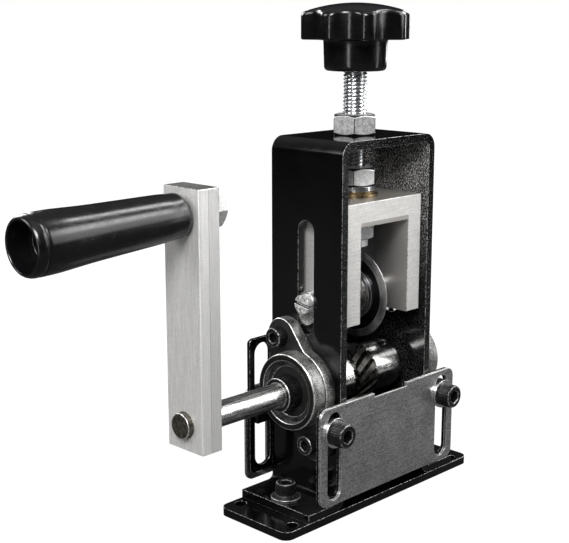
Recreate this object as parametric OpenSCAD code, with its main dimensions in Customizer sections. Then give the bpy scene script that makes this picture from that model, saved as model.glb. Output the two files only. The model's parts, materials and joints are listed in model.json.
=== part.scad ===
// Manual cable stripping machine.
// Origin at the middle of the base plate's underside. X runs along the crank shaft with the crank at -X,
// -Y is the side where the cable comes out, Z is up. Sizes are in millimetres.

/* [Base and frame] */
// How far the base plate runs past each foot of the frame
base_end = 13; // [12:0.2:20]
// Thickness of the base plate
base_t = 3.5; // [3:0.5:5]
// Outer width of the frame across its two walls
frame_w = 57.6; // [54:0.2:72]
// Depth of the frame and of the base plate, front to rear
frame_depth = 39; // [37:0.5:48]
// Thickness of the frame's sheet steel
sheet_t = 3.5; // [3:0.1:4]
// Outer radius of the frame's bends
bend_r = 6; // [5:0.5:8]
// Length of each bent foot
foot_len = 18.2; // [17.8:0.2:22]
// Free travel of the blade block below the frame's top
head_room = 9.5; // [6:0.5:20]

/* [Drive] */
// Height of the crank shaft above the bench
shaft_z = 52.8; // [51:0.2:64]
// Diameter of the crank shaft
shaft_d = 10; // [8:0.5:11]
// Diameter of the toothed rim over its teeth
wheel_d = 24; // [22:0.5:29]
// Width of the toothed rim
rim_w = 12; // [8:0.5:16]
// Number of teeth on the rim
tooth_count = 16; // [12:1:20]
// Lead angle of the teeth across the rim
tooth_slant = 28; // [0:1:35]
// Diameter of the smooth hubs beside the rim
hub_d = 21.2; // [18:0.2:21.4]

/* [Blade and block] */
// Diameter of the round blade
blade_d = 38; // [34:0.5:46]
// Thickness of the blade
blade_t = 1.6; // [1.2:0.1:2.4]
// Width of the ground bevel around the blade
bevel_w = 3.3; // [2:0.1:4]
// Gap between the blade's edge and the teeth as pictured
cable_gap = 4.2; // [4.1:0.1:8]
// Thickness of the block's two legs
leg_t = 8.2; // [7:0.2:10]
// Height of the bar that joins the legs
bar_h = 10; // [8:0.5:12]
// Diameter of the threaded blade axle
axle_d = 8; // [6:0.5:8]
// Width of the guide slot in each wall
slot_w = 8.7; // [8.7:0.1:10]

/* [Crank] */
// Distance from the frame's wall to the crank arm
arm_gap = 55.5; // [50:0.5:70]
// Length of the crank arm
arm_len = 100; // [84:1:120]
// Width of the crank arm
arm_w = 20; // [18:0.5:26]
// Thickness of the crank arm
arm_t = 10; // [8:0.5:14]
// Distance of the shaft and the handle bolt from the arm's ends
arm_end = 10; // [9:0.5:14]
// Length of the handle grip
grip_len = 67.5; // [56:0.5:84]
// Diameter of the grip at its outer end
grip_d = 21.6; // [21.2:0.2:28]
// Angle by which the handle bolt hangs below square
handle_droop = 2.2; // [0:0.2:4]

/* [Adjusting screw and knob] */
// Diameter of the adjusting screw
rod_d = 10; // [8:0.5:10.5]
// Height of the knob's hub above the frame
knob_rise = 25.9; // [20:0.5:40]
// Diameter of the knob over its lobes
knob_d = 45; // [40:0.5:56]
// Number of lobes on the knob
lobe_count = 8; // [7:1:9]
// Depth of the valleys between the lobes
lobe_depth = 3.25; // [2.25:0.25:3.5]

/* [Guide plates] */
// How far the guide plates stick out past the frame on each side
plate_wing = 14.2; // [13.6:0.1:18]
// Height of the guide plates
plate_h = 41.5; // [38:0.5:44]
// Thickness of the guide plates
plate_t = 1; // [0.8:0.1:2]
// Thickness of the brackets welded to the frame
bracket_t = 1.6; // [1.5:0.1:2.5]

/* [Hidden] */
$fn = 64;
eps = 0.5;
fit = 0.03;
run_gap = 0.06;
wall_out = frame_w / 2;
wall_in = wall_out - sheet_t;
half_depth = frame_depth / 2;

// Heights of the running gear, from the shaft upwards
blade_z = shaft_z + wheel_d / 2 + cable_gap + blade_d / 2;
block_top = blade_z + blade_d / 2 + 22.7;
block_bottom = blade_z - 8.1;
bar_bottom = block_top - bar_h;
stack_h = 12.3;
frame_top = block_top + stack_h + head_room + sheet_t;

// Base plate and feet
foot_end = wall_out + foot_len;
base_len = 2 * (foot_end + base_end);
base_hole_x = base_len / 2 - 8;
base_hole_y = half_depth - 4.5;
base_hole_d = 5;
base_corner_r = 4;
foot_screw_x = wall_out + 11.6;
foot_top = base_t + sheet_t;
inner_bend_r = bend_r - sheet_t;

// M5 socket head screws of the feet and bearings
m5_d = 5;
m5_head_d = 8.5;
m5_head_h = 5;
m5_socket_af = 4;
m5_hole_d = 5.5;
m5_tap_d = m5_d + 2 * fit;
flat_washer_d = 12.4;
flat_washer_t = 1.1;
spring_washer_t = 1.1;

// M6 socket head screws of the guide plates
m6_d = 6;
m6_head_d = 10;
m6_head_h = 6;
m6_socket_af = 5;
m6_tap_d = m6_d + 2 * fit;
plate_washer_d = 12.4;
plate_washer_t = 1.2;

// Wall openings
slot_bottom = blade_z - 13;
slot_top = blade_z + 34.5;
shaft_hole_d = shaft_d + 4;

// Flange bearing
flange_t = 5.3;
flange_out = wall_out + flange_t;
boss_out = wall_out + 11.4;
boss_d = 32;
boss_root_d = 33.2;
flange_mid_r = 16.9;
flank_r = 13.3;
flank_fillet = 4;
lobe_r = 7.5;
bolt_y = 9;
bolt_z = 21;
bolt_r = sqrt(bolt_y * bolt_y + bolt_z * bolt_z);
bolt_tilt = atan2(bolt_z, bolt_y);
insert_in = wall_out + 1.4;
insert_w = 8;
insert_d = 26;
race_t = 2.5;
ball_d = 4.76;
ball_count = 7;
cone_d = shaft_d + 4;
ball_path_r = (insert_d / 2 - race_t + cone_d / 2) / 2;
collar_out = wall_out + 16.5;
grub_d = 4;
grub_x = wall_out + 13.2;

// Crank shaft and toothed wheel
arm_in = wall_out + arm_gap;
arm_out = arm_in + arm_t;
shaft_left = arm_out + 2.5;
shaft_right = collar_out + 1;
rim_centre = -2.5;
hub_end = wall_in - 5.3;
tooth_depth = 1.3;
wheel_grub_d = 5;
wheel_grub_x = hub_end - 4;
handle_z = shaft_z + arm_len - 2 * arm_end;
handle_bolt_d = 8;
handle_head_d = 13;
handle_nut_af = 13;
handle_nut_h = 6.5;
handle_nut_top = -arm_t - handle_nut_af / sqrt(3) * tan(handle_droop) - 0.05;
handle_shoulder = grip_len - 22;

// Blade block and what slides in the wall slots
block_half = wall_in - 2.2;
block_depth = frame_depth - 4.2;
leg_in = block_half - leg_t;
key_w = slot_w - 0.2;
key_bottom = blade_z - 9;
key_top = blade_z + 5;
key_out = wall_out - 0.3;
axle_out = wall_out + 2.5;
blade_bearing_d = 19;
blade_bearing_w = 6;
blade_race_t = 1.7;
blade_hub_d = 22.4;
blade_ball_d = 3;
blade_ball_count = 8;
blade_cone_d = axle_d + 3.4;
blade_ball_path_r = (blade_bearing_d / 2 - blade_race_t + blade_cone_d / 2) / 2;
sleeve_d = 12;

// Adjusting screw, its nuts and the knob
nut_af = 1.7 * rod_d;
top_nut_h = 8.5;
rod_bottom = bar_bottom - 11.7;
hub_bottom = frame_top + knob_rise;
knob_hub_d = 26.3;
knob_hub_h = 12.5;
rim_bottom = hub_bottom + knob_hub_h;
rim_h = 10.6;
dome_h = 4;
knob_bore_h = 18;
rod_top = hub_bottom + knob_bore_h - 0.5;
brass_washer_t = 1.2;
steel_washer_t = 1.8;
clamp_nut_h = 7.8;
nut_turn = 41;
knob_turn = 9.7;

// Guide plates
plate_half = wall_out + plate_wing;
plate_slot_x = wall_out + 6.1;
plate_slot_w = 8.2;
plate_bottom = 9;
plate_top = plate_bottom + plate_h;
plate_slot_bottom = plate_bottom + 2.1;
plate_slot_top = plate_top - 2.1;
plate_corner_r = 4;
clamp_z = plate_top - 10.6;
bracket_in = half_depth;
bracket_out = half_depth + bracket_t;
plate_in = bracket_out;
plate_out = plate_in + plate_t;
rear_bracket_top = shaft_z + 18.6;
rear_bracket_bottom = 12.3;
rear_slot_x = wall_out + 5.8;
rear_slot_w = 9;
notch_half = 10.5;
thin_nut_t = 2.5;
thin_nut_af = 10;

// Colours seen in the photo
black_paint = [0.06, 0.06, 0.07];
black_plastic = [0.09, 0.09, 0.10];
dark_steel = [0.20, 0.20, 0.21];
steel = [0.66, 0.67, 0.68];
bright_steel = [0.80, 0.81, 0.82];
alloy = [0.76, 0.76, 0.74];
zinc = [0.62, 0.63, 0.63];
brass = [0.75, 0.60, 0.30];

// Shared shapes

// Plain rod or bore of radius r along X, from x0 to x1, at height z
module x_rod(r, x0, x1, z, y = 0) {
  translate([x0, y, z])
    rotate([0, 90, 0])
      cylinder(r = r, h = x1 - x0);
}

// Ring along X
module x_ring(r_out, r_in, x0, x1, z) {
  difference() {
    x_rod(r_out, x0, x1, z);
    x_rod(r_in, x0 - eps, x1 + eps, z);
  }
}

// Square-ended plate with round corners, drawn flat
module round_rect(w, h, r) {
  translate([-w / 2 + r, -h / 2])
    square([w - 2 * r, h]);
  translate([-w / 2, -h / 2 + r])
    square([w, h - 2 * r]);
  for (sx = [-1, 1], sy = [-1, 1])
    translate([sx * (w / 2 - r), sy * (h / 2 - r)])
      circle(r);
}

// Upright slot with round ends, drawn flat
module upright_slot(x, bottom, top, w) {
  translate([x - w / 2, bottom + w / 2])
    square([w, top - bottom - w]);
  for (end = [bottom + w / 2, top - w / 2])
    translate([x, end])
      circle(w / 2);
}

// Takes a flat X-Z drawing and gives it thickness from y0 to y1
module xz_plate(y0, y1) {
  translate([0, y1, 0])
    rotate([90, 0, 0])
      linear_extrude(y1 - y0)
        children();
}

// Takes a flat Y-Z drawing and gives it thickness from x0 to x1
module yz_plate(x0, x1) {
  translate([x0, 0, 0])
    rotate([90, 0, 90])
      linear_extrude(x1 - x0)
        children();
}

// Flat ring on Z
module z_ring(d_out, d_in, z0, h) {
  translate([0, 0, z0])
    difference() {
      cylinder(d = d_out, h = h);
      translate([0, 0, -eps])
        cylinder(d = d_in, h = h + 2 * eps);
    }
}

// Hexagonal nut on Z with its corners turned down
module hex_nut(af, h, bore, turn = 0) {
  corner_r = af / sqrt(3);
  chamfer = corner_r - af / 2;
  difference() {
    intersection() {
      rotate(turn)
        cylinder(r = corner_r, h = h, $fn = 6);
      rotate_extrude()
        polygon([
          [0, 0],
          [af / 2, 0],
          [corner_r + 0.01, chamfer * 0.6],
          [corner_r + 0.01, h - chamfer * 0.6],
          [af / 2, h],
          [0, h]
        ]);
    }
    translate([0, 0, -eps])
      cylinder(d = bore, h = h + 2 * eps);
  }
}

// Socket head screw pointing down -Z with the underside of its head at the origin
module socket_screw(d, head_d, head_h, len, socket_af) {
  difference() {
    union() {
      rotate_extrude()
        polygon([
          [0, 0],
          [head_d / 2, 0],
          [head_d / 2, head_h - 0.5],
          [head_d / 2 - 0.5, head_h],
          [0, head_h]
        ]);
      translate([0, 0, -len])
        cylinder(d = d, h = len + eps);
    }
    translate([0, 0, head_h * 0.5])
      cylinder(r = socket_af / sqrt(3), h = head_h, $fn = 6);
  }
}

// Socket set screw along Z with its socket on top
module grub_screw(d, len, socket_af) {
  difference() {
    cylinder(d = d, h = len);
    translate([0, 0, len * 0.5])
      cylinder(r = socket_af / sqrt(3), h = len, $fn = 6);
  }
}

// Base and frame

module base_plate() {
  color(black_paint)
    difference() {
      linear_extrude(base_t)
        round_rect(base_len, frame_depth, base_corner_r);
      for (sx = [-1, 1], sy = [-1, 1])
        translate([sx * base_hole_x, sy * base_hole_y, -eps])
          cylinder(d = base_hole_d, h = base_t + 2 * eps);
      for (sx = [-1, 1])
        translate([sx * foot_screw_x, 0, -eps])
          cylinder(d = m5_tap_d, h = base_t + 2 * eps);
    }
}

// One wall with its foot, as bent sheet, on the +X side
module half_hat() {
  translate([wall_in, base_t + bend_r])
    square([sheet_t, frame_top - base_t - 2 * bend_r]);
  translate([wall_in + bend_r, base_t])
    square([foot_end - wall_in - bend_r, sheet_t]);
  // foot bend
  intersection() {
    translate([wall_in, base_t])
      square(bend_r);
    translate([wall_in + bend_r, base_t + bend_r])
      difference() {
        circle(bend_r);
        circle(inner_bend_r);
      }
  }
  // top bend
  intersection() {
    translate([wall_out - bend_r, frame_top - bend_r])
      square(bend_r);
    translate([wall_out - bend_r, frame_top - bend_r])
      difference() {
        circle(bend_r);
        circle(inner_bend_r);
      }
  }
}

module hat_profile() {
  half_hat();
  mirror([1, 0])
    half_hat();
  translate([-(wall_out - bend_r), frame_top - sheet_t])
    square([2 * (wall_out - bend_r), sheet_t]);
}

module frame_bracket() {
  color(black_paint)
    difference() {
      xz_plate(-half_depth, half_depth)
        hat_profile();
      yz_plate(-wall_out - eps, wall_out + eps)
        upright_slot(0, slot_bottom, slot_top, slot_w);
      x_rod(shaft_hole_d / 2, -wall_out - eps, wall_out + eps, shaft_z);
      for (s = [-1, 1])
        x_rod(m5_tap_d / 2, -wall_out - eps, wall_out + eps, shaft_z + s * bolt_z, s * bolt_y);
      for (sx = [-1, 1])
        translate([sx * foot_screw_x, 0, base_t - eps])
          cylinder(d = m5_hole_d, h = sheet_t + 2 * eps);
      translate([0, 0, frame_top - sheet_t - eps])
        cylinder(d = rod_d + 1, h = sheet_t + 2 * eps);
    }
}

module foot_screws() {
  color(steel)
    for (sx = [-1, 1])
      translate([sx * foot_screw_x, 0, foot_top + flat_washer_t + spring_washer_t])
        socket_screw(m5_d, m5_head_d, m5_head_h, 8.8, m5_socket_af);
}

// Split ring washers under the foot screws' heads
module foot_spring_washers() {
  color(steel)
    for (sx = [-1, 1])
      translate([sx * foot_screw_x, 0, foot_top + flat_washer_t])
        difference() {
          cylinder(d = 8.8, h = spring_washer_t);
          translate([0, 0, -eps])
            cylinder(d = m5_d + 0.3, h = spring_washer_t + 2 * eps);
          rotate(-100)
            translate([0, -0.5, -eps])
              cube([8, 1, spring_washer_t + 2 * eps]);
        }
}

module foot_flat_washers() {
  color(bright_steel)
    for (sx = [-1, 1])
      translate([sx * foot_screw_x, 0, 0])
        z_ring(flat_washer_d, m5_d + 0.4, foot_top, flat_washer_t);
}

// Top of the frame: the nut that the adjusting screw runs in
module top_nut() {
  color(bright_steel)
    translate([0, 0, frame_top])
      hex_nut(nut_af, top_nut_h, rod_d + 2 * run_gap, nut_turn);
}

// Brackets and guide plates

module front_bracket() {
  color(black_paint)
    xz_plate(-bracket_out, -bracket_in)
      difference() {
        translate([0, (plate_bottom + plate_top) / 2])
          round_rect(2 * plate_half, plate_h, plate_corner_r);
        for (sx = [-1, 1])
          upright_slot(sx * plate_slot_x, plate_slot_bottom, plate_slot_top, plate_slot_w);
        translate([-notch_half, plate_top - 3])
          square([2 * notch_half, 4]);
      }
}

module rear_bracket() {
  color(black_paint)
    xz_plate(bracket_in, bracket_out)
      difference() {
        translate([0, (rear_bracket_bottom + rear_bracket_top) / 2])
          round_rect(2 * plate_half - 2, rear_bracket_top - rear_bracket_bottom, 2);
        for (sx = [-1, 1])
          upright_slot(sx * rear_slot_x, rear_bracket_bottom + 2.6, rear_bracket_top - 2.4, rear_slot_w);
      }
}

// Steel plate with two clamping slots and a shallow notch that the cable rides in
module guide_profile() {
  difference() {
    translate([0, (plate_bottom + plate_top) / 2])
      round_rect(2 * plate_half, plate_h, plate_corner_r);
    for (sx = [-1, 1])
      upright_slot(sx * plate_slot_x, plate_slot_bottom, plate_slot_top, plate_slot_w);
    translate([-notch_half, plate_top - 1.6])
      square([2 * notch_half, 4]);
  }
}

module front_guide_plate() {
  color(steel)
    xz_plate(-plate_out, -plate_in)
      guide_profile();
}

module rear_guide_plate() {
  color(steel)
    xz_plate(plate_in, plate_out)
      guide_profile();
}

// The four places where a guide plate is clamped
module at_clamps() {
  for (sy = [0, 1], sx = [-1, 1])
    mirror([0, sy, 0])
      translate([sx * plate_slot_x, 0, clamp_z])
        rotate([90, 0, 0])
          children();
}

module guide_screws() {
  color(dark_steel)
    at_clamps()
      translate([0, 0, plate_out + plate_washer_t])
        socket_screw(m6_d, m6_head_d, m6_head_h, plate_washer_t + plate_t + bracket_t + thin_nut_t - 0.2, m6_socket_af);
}

module guide_washers() {
  color(bright_steel)
    at_clamps()
      z_ring(plate_washer_d, m6_d + 0.4, plate_out, plate_washer_t);
}

module guide_nuts() {
  color(dark_steel)
    at_clamps()
      difference() {
        translate([-thin_nut_af / 2, -thin_nut_af / 2, bracket_in - thin_nut_t])
          cube([thin_nut_af, thin_nut_af, thin_nut_t]);
        translate([0, 0, bracket_in - thin_nut_t - eps])
          cylinder(d = m6_tap_d, h = thin_nut_t + 2 * eps);
      }
}

// Flange bearings

// Half of the neck between a bolt lobe on +X and the middle circle, with a hollow corner
module half_neck() {
  flank = acos((flank_r - lobe_r) / bolt_r);
  square_to = [cos(flank), sin(flank)];
  along = [sin(flank), -cos(flank)];
  reach = sqrt((flange_mid_r + flank_fillet) ^ 2 - (flank_r + flank_fillet) ^ 2);
  corner = (flank_r + flank_fillet) * square_to + reach * along;
  difference() {
    polygon([
      [bolt_r, -1],
      [bolt_r, 0] + lobe_r * square_to,
      flank_r * square_to + reach * along,
      corner,
      corner * flange_mid_r / (flange_mid_r + flank_fillet),
      [0, -1]
    ]);
    translate(corner)
      circle(flank_fillet);
  }
}

// Rhombic flange outline: a middle circle and two bolt lobes
module flange_outline() {
  circle(flange_mid_r);
  for (end = [0, 180])
    rotate(bolt_tilt + end) {
      translate([bolt_r, 0])
        circle(lobe_r);
      half_neck();
      mirror([0, 1])
        half_neck();
    }
}

// Cast housing on the +X side, bored for the insert
module bearing_housing() {
  difference() {
    union() {
      yz_plate(wall_out, flange_out)
        translate([0, shaft_z])
          flange_outline();
      translate([flange_out - eps, 0, shaft_z])
        rotate([0, 90, 0])
          rotate_extrude()
            polygon([
              [0, 0],
              [boss_root_d / 2, 0],
              [boss_root_d / 2, eps],
              [boss_d / 2, boss_out - flange_out + eps - 0.8],
              [boss_d / 2 - 0.8, boss_out - flange_out + eps],
              [0, boss_out - flange_out + eps]
            ]);
    }
    x_rod(insert_d / 2 + fit, insert_in - 0.2, boss_out + eps, shaft_z);
    x_rod(shaft_hole_d / 2 + 1.5, wall_out - eps, boss_out, shaft_z);
    for (s = [-1, 1])
      x_rod(m5_hole_d / 2, wall_out - eps, flange_out + eps, shaft_z + s * bolt_z, s * bolt_y);
  }
}

module right_bearing_housing() {
  color(zinc)
    bearing_housing();
}

module left_bearing_housing() {
  color(zinc)
    mirror([1, 0, 0])
      bearing_housing();
}

module both_sides() {
  children();
  mirror([1, 0, 0])
    children();
}

// Round groove that the balls run in
module ball_groove(path_r, ball_r, x, z) {
  translate([x, 0, z])
    rotate([0, 90, 0])
      rotate_extrude()
        translate([path_r, 0])
          circle(ball_r);
}

module bearing_outer_rings() {
  color(steel)
    both_sides()
      difference() {
        x_ring(insert_d / 2, insert_d / 2 - race_t, insert_in, insert_in + insert_w, shaft_z);
        ball_groove(ball_path_r, ball_d / 2 + fit, insert_in + insert_w / 2, shaft_z);
      }
}

module bearing_inner_rings() {
  color(bright_steel)
    both_sides()
      difference() {
        x_ring(cone_d / 2, shaft_d / 2 + fit, insert_in, collar_out, shaft_z);
        ball_groove(ball_path_r, ball_d / 2 + fit, insert_in + insert_w / 2, shaft_z);
        for (a = [90, -30])
          translate([grub_x, 0, shaft_z])
            rotate([a, 0, 0])
              cylinder(d = grub_d + 2 * fit, h = cone_d);
      }
}

module bearing_balls() {
  color(bright_steel)
    both_sides()
      for (i = [0 : ball_count - 1])
        translate([insert_in + insert_w / 2, 0, shaft_z])
          rotate([i * 360 / ball_count, 0, 0])
            translate([0, 0, ball_path_r])
              sphere(d = ball_d);
}

module bearing_seals() {
  color(black_plastic)
    both_sides()
      for (x = [insert_in + 0.3, insert_in + insert_w - 1.1])
        x_ring(insert_d / 2 - race_t - fit, cone_d / 2 + 0.15, x, x + 0.8, shaft_z);
}

module collar_grub_screws() {
  color(dark_steel)
    both_sides()
      for (a = [90, -30])
        translate([grub_x, 0, shaft_z])
          rotate([a, 0, 0])
            translate([0, 0, shaft_d / 2 + 0.05])
              grub_screw(grub_d, cone_d / 2 - shaft_d / 2 - 0.25, 2);
}

module bearing_screws() {
  color(dark_steel)
    both_sides()
      for (s = [-1, 1])
        translate([flange_out, s * bolt_y, shaft_z + s * bolt_z])
          rotate([0, 90, 0])
            socket_screw(m5_d, m5_head_d, m5_head_h, flange_t + sheet_t - 0.2, m5_socket_af);
}

// Crank shaft and toothed wheel

module crank_shaft() {
  color(bright_steel)
    x_rod(shaft_d / 2, -shaft_left, shaft_right, shaft_z);
}

module drive_wheel() {
  rim_left = rim_centre - rim_w / 2;
  tip_half = 2.2;
  color(steel)
    difference() {
      union() {
        x_rod(hub_d / 2, -hub_end, hub_end, shaft_z);
        x_rod(wheel_d / 2, rim_left, rim_left + rim_w, shaft_z);
      }
      x_rod(shaft_d / 2 + fit, -hub_end - eps, hub_end + eps, shaft_z);
      for (i = [0 : tooth_count - 1])
        translate([rim_centre, 0, shaft_z])
          rotate([i * 360 / tooth_count, 0, 0])
            translate([0, 0, wheel_d / 2 - tooth_depth])
              rotate([0, 0, tooth_slant])
                rotate([90, 0, 90])
                  translate([0, 0, -rim_w])
                    linear_extrude(2 * rim_w)
                      polygon([[0, 0], [tip_half, 2], [-0.9, 2]]);
      translate([wheel_grub_x, 0, shaft_z])
        rotate([12, 0, 0])
          cylinder(d = wheel_grub_d + 2 * fit, h = hub_d);
    }
}

module wheel_grub_screw() {
  color(dark_steel)
    translate([wheel_grub_x, 0, shaft_z])
      rotate([12, 0, 0])
        translate([0, 0, shaft_d / 2 + 0.05])
          grub_screw(wheel_grub_d, hub_d / 2 - shaft_d / 2 - 0.6, 2.5);
}

// Crank arm and handle

module crank_arm() {
  color(alloy)
    difference() {
      translate([-(arm_in + arm_t / 2), 0, shaft_z - arm_end])
        linear_extrude(arm_len)
          round_rect(arm_t, arm_w, 0.8);
      x_rod(shaft_d / 2 + fit, -arm_out - eps, -arm_in + eps, shaft_z);
      at_handle()
        translate([0, 0, -arm_t - 2])
          cylinder(d = handle_bolt_d + 2 * fit, h = arm_t + 4);
    }
}

// Puts +Z on the handle bolt, pointing out of the arm's outer face
module at_handle() {
  translate([-arm_out, 0, handle_z])
    rotate([0, -90 - handle_droop, 0])
      children();
}

// Shouldered against the inside of the grip, with its nut behind the arm
module handle_bolt() {
  color(dark_steel)
    at_handle()
      translate([0, 0, handle_shoulder])
        socket_screw(handle_bolt_d, handle_head_d, 8, handle_shoulder - handle_nut_top + handle_nut_h + 1, 6);
}

module handle_nut() {
  color(steel)
    at_handle()
      translate([0, 0, handle_nut_top - handle_nut_h])
        hex_nut(handle_nut_af, handle_nut_h, handle_bolt_d + 2 * fit, 30);
}

// Grip profile: radius, then distance from the arm
module grip_profile() {
  tip = grip_d / 2;
  neck = tip - 2.4;
  polygon([
    [handle_bolt_d / 2, 1],
    [neck - 1.4, 1],
    [neck - 0.4, 1.5],
    [neck, 3.5],
    [neck + 0.4, 10],
    [neck + 0.7, 18],
    [neck + 1.1, 30],
    [neck + 1.5, 41],
    [tip, grip_len - 10],
    [tip, grip_len - 4.6],
    [tip - 0.35, grip_len - 4.2],
    [tip - 0.35, grip_len - 3.7],
    [tip - 0.1, grip_len - 3.3],
    [tip - 0.15, grip_len - 1.7],
    [tip - 0.5, grip_len - 0.7],
    [tip - 1.2, grip_len],
    [tip - 1.5, grip_len],
    [tip - 2.1, grip_len - 1],
    [tip - 2.1, grip_len - 9],
    [handle_head_d / 2 + 0.4, grip_len - 9],
    [handle_head_d / 2 + 0.4, handle_shoulder - 0.3],
    [handle_bolt_d / 2, handle_shoulder - 0.3]
  ]);
}

module handle_grip() {
  color(black_plastic)
    at_handle()
      difference() {
        rotate_extrude()
          grip_profile();
        cylinder(d = handle_bolt_d + 2 * run_gap, h = grip_len);
      }
}

// Blade block

module blade_block() {
  color(alloy)
    difference() {
      xz_plate(-block_depth / 2, block_depth / 2)
        difference() {
          translate([-block_half, block_bottom])
            square([2 * block_half, block_top - block_bottom]);
          translate([-leg_in, block_bottom - eps])
            square([2 * leg_in, bar_bottom - block_bottom + eps]);
        }
      translate([0, 0, bar_bottom - eps])
        cylinder(d = rod_d + 0.6, h = bar_h + 2 * eps);
      x_rod(axle_d / 2 + fit, -block_half - eps, block_half + eps, blade_z);
    }
}

// Oblong keys that slide in the wall slots
module slot_guides() {
  color(bright_steel)
    both_sides()
      difference() {
        yz_plate(block_half, key_out)
          upright_slot(0, key_bottom, key_top, key_w);
        x_rod(axle_d / 2 + fit, block_half - eps, key_out + eps, blade_z);
      }
}

module blade_axle() {
  color(steel)
    difference() {
      x_rod(axle_d / 2, -axle_out, axle_out, blade_z);
      for (s = [-1, 1])
        translate([s * axle_out, 0, blade_z])
          rotate([-s * 10, 0, 0])
            cube([3, axle_d + 2, 1.2], center = true);
    }
}

module spacer_sleeves() {
  color(steel)
    both_sides()
      x_ring(sleeve_d / 2, axle_d / 2 + fit, blade_bearing_w / 2, leg_in, blade_z);
}

module blade_inner_ring() {
  color(bright_steel)
    difference() {
      x_ring(blade_cone_d / 2, axle_d / 2 + fit, -blade_bearing_w / 2, blade_bearing_w / 2, blade_z);
      ball_groove(blade_ball_path_r, blade_ball_d / 2 + fit, 0, blade_z);
    }
}

module blade_outer_ring() {
  color(bright_steel)
    difference() {
      x_ring(blade_bearing_d / 2, blade_bearing_d / 2 - blade_race_t,
        -blade_bearing_w / 2, blade_bearing_w / 2, blade_z);
      ball_groove(blade_ball_path_r, blade_ball_d / 2 + fit, 0, blade_z);
    }
}

module blade_balls() {
  color(bright_steel)
    for (i = [0 : blade_ball_count - 1])
      translate([0, 0, blade_z])
        rotate([i * 360 / blade_ball_count, 0, 0])
          translate([0, 0, blade_ball_path_r])
            sphere(d = blade_ball_d);
}

// Round blade with a ground bevel on both faces and a hub that holds its bearing
module blade_disc() {
  bore_r = blade_bearing_d / 2 + fit;
  edge_r = blade_d / 2;
  color(dark_steel)
    translate([0, 0, blade_z])
      rotate([0, 90, 0])
        rotate_extrude()
          polygon([
            [bore_r, -2.6],
            [blade_hub_d / 2, -2.6],
            [blade_hub_d / 2, -blade_t / 2],
            [edge_r - bevel_w, -blade_t / 2],
            [edge_r, -0.1],
            [edge_r, 0.1],
            [edge_r - bevel_w, blade_t / 2],
            [blade_hub_d / 2, blade_t / 2],
            [blade_hub_d / 2, 2.6],
            [bore_r, 2.6]
          ]);
}

module brass_washers() {
  color(brass)
    for (i = [0, 1])
      z_ring(20 - 2 * i, rod_d + 0.6, block_top + i * (brass_washer_t + 0.02), brass_washer_t);
}

// Adjusting screw and knob

module adjusting_screw() {
  color(steel)
    translate([0, 0, rod_bottom])
      rotate_extrude()
        polygon([
          [0, 0],
          [rod_d / 2 - 0.8, 0],
          [rod_d / 2, 0.8],
          [rod_d / 2, rod_top - rod_bottom - 0.8],
          [rod_d / 2 - 0.8, rod_top - rod_bottom],
          [0, rod_top - rod_bottom]
        ]);
}

// Steel washer that turns with the screw on the brass ones
module clamp_washer() {
  color(bright_steel)
    z_ring(18.5, rod_d + 2 * fit, block_top + 2 * brass_washer_t + 0.1, steel_washer_t);
}

module clamp_nuts() {
  upper = block_top + 2 * brass_washer_t + 0.1 + steel_washer_t;
  color(bright_steel) {
    translate([0, 0, upper])
      hex_nut(nut_af, clamp_nut_h, rod_d + 2 * fit, nut_turn);
    translate([0, 0, bar_bottom - 0.2 - clamp_nut_h])
      hex_nut(nut_af, clamp_nut_h, rod_d + 2 * fit, nut_turn);
    z_ring(12.3, rod_d + 2 * fit, rod_bottom + 0.4, bar_bottom - 0.2 - clamp_nut_h - rod_bottom - 0.4);
  }
}

// Lobed outline: crests joined by wide hollow arcs that touch them smoothly
module lobed_outline() {
  step = 360 / lobe_count;
  crest_r = 4.5;
  crest_c = knob_d / 2 - crest_r;
  valley_low = knob_d / 2 - lobe_depth;
  along = crest_c * cos(step / 2);
  valley_r = (crest_c * crest_c + valley_low * valley_low - 2 * along * valley_low - crest_r * crest_r)
    / (2 * (crest_r + along - valley_low));
  valley_c = valley_low + valley_r;
  difference() {
    union() {
      polygon([
        for (i = [0 : lobe_count - 1], s = [-1, 1])
          let (
            crest = crest_c * [cos(i * step), sin(i * step)],
            a = (i + s / 2) * step,
            valley = valley_c * [cos(a), sin(a)]
          )
          crest + (valley - crest) * crest_r / (crest_r + valley_r)
      ]);
      for (i = [0 : lobe_count - 1])
        rotate(i * step)
          translate([crest_c, 0])
            circle(crest_r);
    }
    for (i = [0 : lobe_count - 1])
      rotate((i + 0.5) * step)
        translate([valley_c, 0])
          circle(valley_r);
  }
}

// Everything above the knob's domed top
module above_dome() {
  dome_r = (knob_d * knob_d / 4 + dome_h * dome_h) / (2 * dome_h);
  reach = knob_d / 2 + 1;
  steps = 8;
  rotate_extrude()
    polygon([
      for (i = [0 : steps])
        let (r = reach * i / steps)
        [r, rim_h + dome_h - dome_r + sqrt(dome_r * dome_r - r * r)],
      [reach, rim_h + dome_h + 2],
      [0, rim_h + dome_h + 2]
    ]);
}

// Ring that breaks the lower edge of the lobes
module under_lobes() {
  rotate_extrude()
    polygon([
      [knob_d / 2 - 0.8, -1],
      [knob_d / 2 - 0.8, 0],
      [knob_d / 2 + 0.4, 1.2],
      [knob_d / 2 + 2, 1.2],
      [knob_d / 2 + 2, -1]
    ]);
}

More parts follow.
